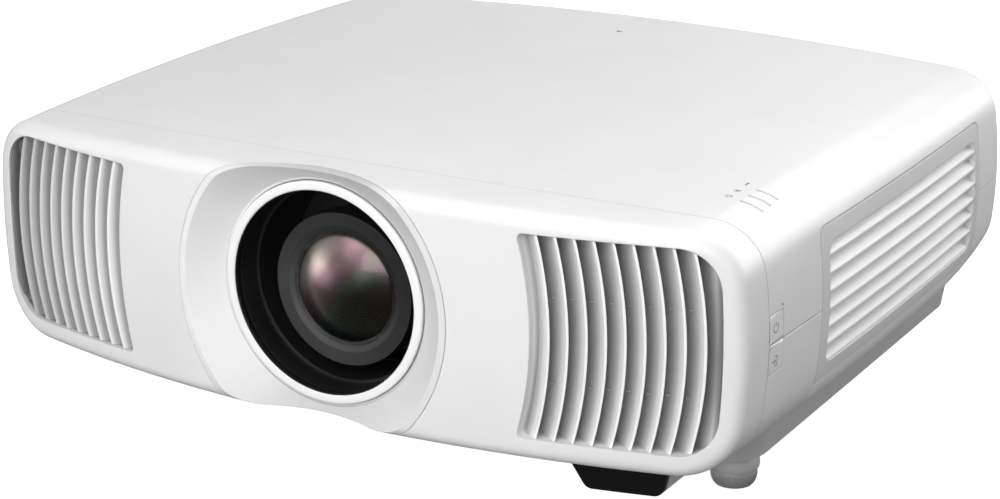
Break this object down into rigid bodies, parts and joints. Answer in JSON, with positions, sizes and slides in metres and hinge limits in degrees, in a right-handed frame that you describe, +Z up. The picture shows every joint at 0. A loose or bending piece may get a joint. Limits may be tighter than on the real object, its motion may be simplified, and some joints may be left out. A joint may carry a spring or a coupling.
{
  "type": "home projector",
  "caption": "White home-cinema projector: bowed front with a shiftable lens in a black well, curved louvre grilles, side filter cover, press buttons and screw-out front feet.",
  "frame": {"origin": "bottom centre, on the surface the feet stand on", "axes": "+X to the viewer's right when facing the lens, +Y towards the rear, +Z up"},
  "size_m": [0.5194, 0.4448, 0.193],
  "materials": {
    "white_shell": "satin",
    "grey_shell": "satin",
    "black_plastic": "satin",
    "dark_window": "gloss",
    "light_pipe": "satin",
    "lens_glass": "polished",
    "filter_pad": "matt",
    "circuit_board": "satin",
    "zinc_steel": "brushed",
    "bare_aluminium": "satin",
    "copper_pipe": "satin",
    "psu_case": "satin",
    "foot_rubber": "matt"
  },
  "bodies": {
    "case": {"front_bezel": "white_shell", "lens_surround": "white_shell", "lens_trim_ring": "white_shell", "right_grille": "white_shell", "left_grille": "white_shell", "upper_case": "white_shell", "lower_case": "white_shell", "rear_sensor_cover": "white_shell", "base_tub": "grey_shell", "front_sensor_housing": "grey_shell", "rear_legs": "grey_shell", "lens_well": "black_plastic", "rear_panel": "black_plastic", "ac_inlet": "black_plastic", "control_ports": "black_plastic", "left_fan_frame": "black_plastic", "right_fan_frame": "black_plastic", "intake_fan_frame": "black_plastic", "optical_block": "black_plastic", "optical_lid": "black_plastic", "lens_frame": "black_plastic", "front_sensor_window": "dark_window", "status_light_pipes": "light_pipe", "prism": "lens_glass", "control_board": "circuit_board", "main_board": "circuit_board", "lcd_panels": "circuit_board", "case_screws": "zinc_steel", "foot_nuts": "zinc_steel", "upright_rods": "zinc_steel", "hdmi_usb_ports": "zinc_steel", "lan_port": "zinc_steel", "chassis_plate": "zinc_steel", "phosphor_motor": "zinc_steel", "laser_module": "bare_aluminium", "heat_sink": "bare_aluminium", "heat_pipe": "copper_pipe", "power_supply": "psu_case", "rear_foot_pads": "foot_rubber"},
    "vertical_shift": {"vertical_carriage": "black_plastic", "side_rods": "zinc_steel"},
    "lens": {"horizontal_carriage": "black_plastic", "lens_barrel": "black_plastic", "front_element": "lens_glass", "lens_motors": "black_plastic"},
    "focus": {"focus_ring": "black_plastic"},
    "zoom": {"zoom_ring": "black_plastic"},
    "left_fan": {"left_fan_rotor": "black_plastic"},
    "right_fan": {"right_fan_rotor": "black_plastic"},
    "intake_fan": {"intake_fan_rotor": "black_plastic"},
    "wheel": {"phosphor_wheel": "bare_aluminium"},
    "power_key": {"power_button": "white_shell"},
    "source_key": {"source_button": "white_shell"},
    "left_stud": {"left_foot_stud": "zinc_steel"},
    "left_knob": {"left_foot_knob": "grey_shell"},
    "right_stud": {"right_foot_stud": "zinc_steel"},
    "right_knob": {"right_foot_knob": "grey_shell"},
    "filter_door": {"filter_cover": "white_shell", "air_filter": "filter_pad"}
  },
  "joints": [
    {"name": "lens_shift_vertical", "type": "slide", "parent": "case", "child": "vertical_shift", "axis": [0, 0, 1], "range_m": [-0.005, 0.013]},
    {"name": "lens_shift_horizontal", "type": "slide", "parent": "vertical_shift", "child": "lens", "axis": [1, 0, 0], "range_m": [-0.0077, 0.0077]},
    {"name": "focus_turn", "type": "hinge", "parent": "lens", "child": "focus", "pos_m": [0, -0.1128, 0.1098], "axis": [0, 1, 0], "range_deg": [-120, 120]},
    {"name": "zoom_turn", "type": "hinge", "parent": "lens", "child": "zoom", "pos_m": [0, -0.096, 0.1098], "axis": [0, 1, 0], "range_deg": [-45, 45]},
    {"name": "left_fan_spin", "type": "hinge", "parent": "case", "child": "left_fan", "pos_m": [-0.18675, -0.15894, 0.1149], "axis": [0, 1, 0], "continuous": true},
    {"name": "right_fan_spin", "type": "hinge", "parent": "case", "child": "right_fan", "pos_m": [0.18675, -0.15894, 0.1149], "axis": [0, 1, 0], "continuous": true},
    {"name": "intake_fan_spin", "type": "hinge", "parent": "case", "child": "intake_fan", "pos_m": [0.2177, 0.0395, 0.11425], "axis": [1, 0, 0], "continuous": true},
    {"name": "phosphor_wheel_spin", "type": "hinge", "parent": "case", "child": "wheel", "pos_m": [0.039, 0.0546, 0.086], "axis": [0, 1, 0], "continuous": true},
    {"name": "power_press", "type": "slide", "parent": "case", "child": "power_key", "axis": [-1, 0, 0], "range_m": [0, 0.0012], "stiffness_N_per_m": 800},
    {"name": "source_press", "type": "slide", "parent": "case", "child": "source_key", "axis": [-1, 0, 0], "range_m": [0, 0.0012], "stiffness_N_per_m": 800},
    {"name": "left_foot_extend", "type": "slide", "parent": "case", "child": "left_stud", "axis": [0, 0, -1], "range_m": [0, 0.012]},
    {"name": "left_foot_turn", "type": "hinge", "parent": "left_stud", "child": "left_knob", "pos_m": [-0.208, -0.0925, 0.012], "axis": [0, 0, -1], "range_deg": [0, 2160]},
    {"name": "right_foot_extend", "type": "slide", "parent": "case", "child": "right_stud", "axis": [0, 0, -1], "range_m": [0, 0.012]},
    {"name": "right_foot_turn", "type": "hinge", "parent": "right_stud", "child": "right_knob", "pos_m": [0.208, -0.0925, 0.012], "axis": [0, 0, -1], "range_deg": [0, 2160]},
    {"name": "filter_pull", "type": "slide", "parent": "case", "child": "filter_door", "axis": [1, 0, 0], "range_m": [0, 0.08]}
  ],
  "couplings": [
    {"joint": "left_foot_turn", "follows": "left_foot_extend", "rad_per_m": 3141.6},
    {"joint": "right_foot_turn", "follows": "right_foot_extend", "rad_per_m": 3141.6}
  ]
}
